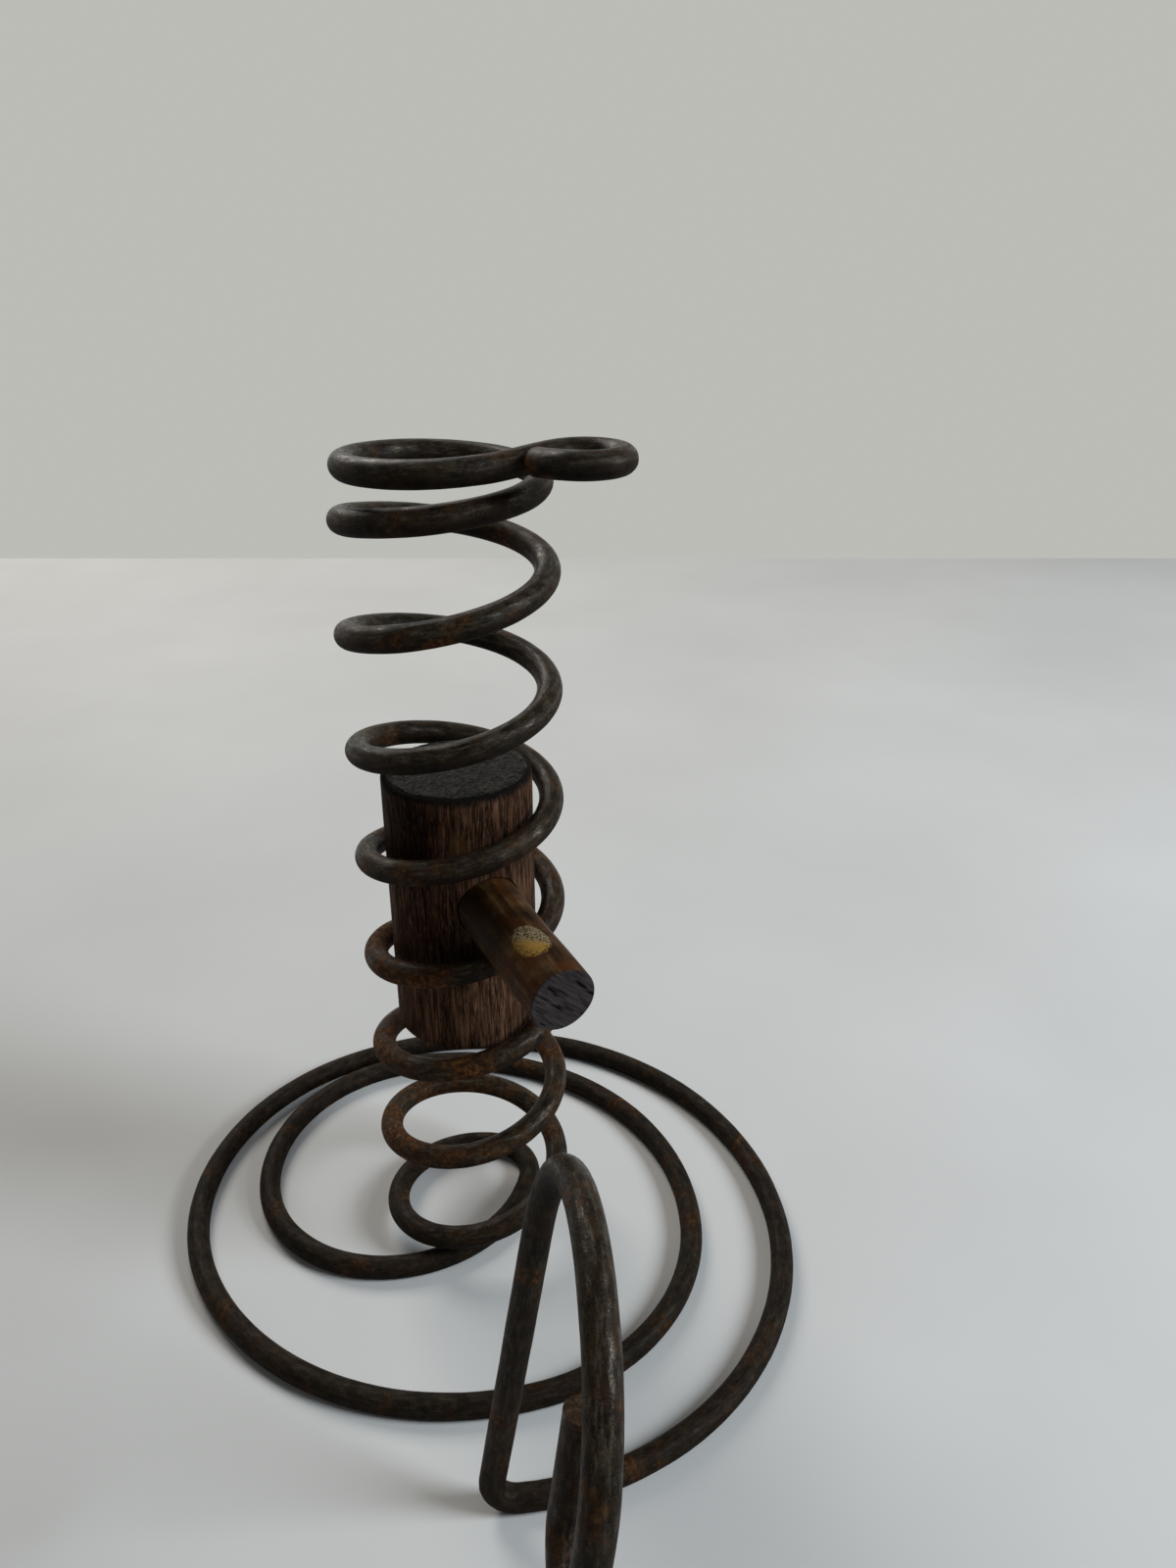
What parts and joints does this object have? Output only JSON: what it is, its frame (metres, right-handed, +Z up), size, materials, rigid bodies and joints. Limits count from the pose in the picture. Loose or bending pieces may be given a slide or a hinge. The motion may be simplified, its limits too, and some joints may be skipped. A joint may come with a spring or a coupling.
{
  "type": "courting candlestick",
  "caption": "Wrought-iron spiral candlestick with a wide coiled foot, a bent handle, a thumb loop and a wooden plug that a peg screws up and down inside the coil.",
  "frame": {"origin": "on the ground, under the middle of the whole object's box", "axes": "+Z up along the coil's axis, which stands at X -1.98 mm and Y +31.34 mm; the handle is at the front, towards -Y"},
  "size_m": [0.1308, 0.1792, 0.167],
  "materials": {
    "iron": "forged, dark brown-black with rust",
    "plug_wood": "dark, oiled by use",
    "peg_wood": "smooth, worn by hands",
    "wax_soot": "rough and glossy, old wax and soot"
  },
  "bodies": {
    "stand": {"thumb_eye": "iron", "top_turns": "iron", "coil": "iron", "base_spiral": "iron", "handle": "iron"},
    "riser": {"wax_skin": "wax_soot"},
    "turner": {"plug": "plug_wood", "peg": "peg_wood"}
  },
  "joints": [
    {"name": "plug_rise", "type": "slide", "parent": "stand", "child": "riser", "axis": [0, 0, 1], "range_m": [-0.0465, 0.043]},
    {"name": "plug_turn", "type": "hinge", "parent": "riser", "child": "turner", "pos_m": [-0.00198, 0.03134, 0.085], "axis": [0, 0, 1], "range_deg": [-776, 718]}
  ],
  "couplings": [
    {"joint": "plug_turn", "follows": "plug_rise", "rad_per_m": 290.89}
  ]
}
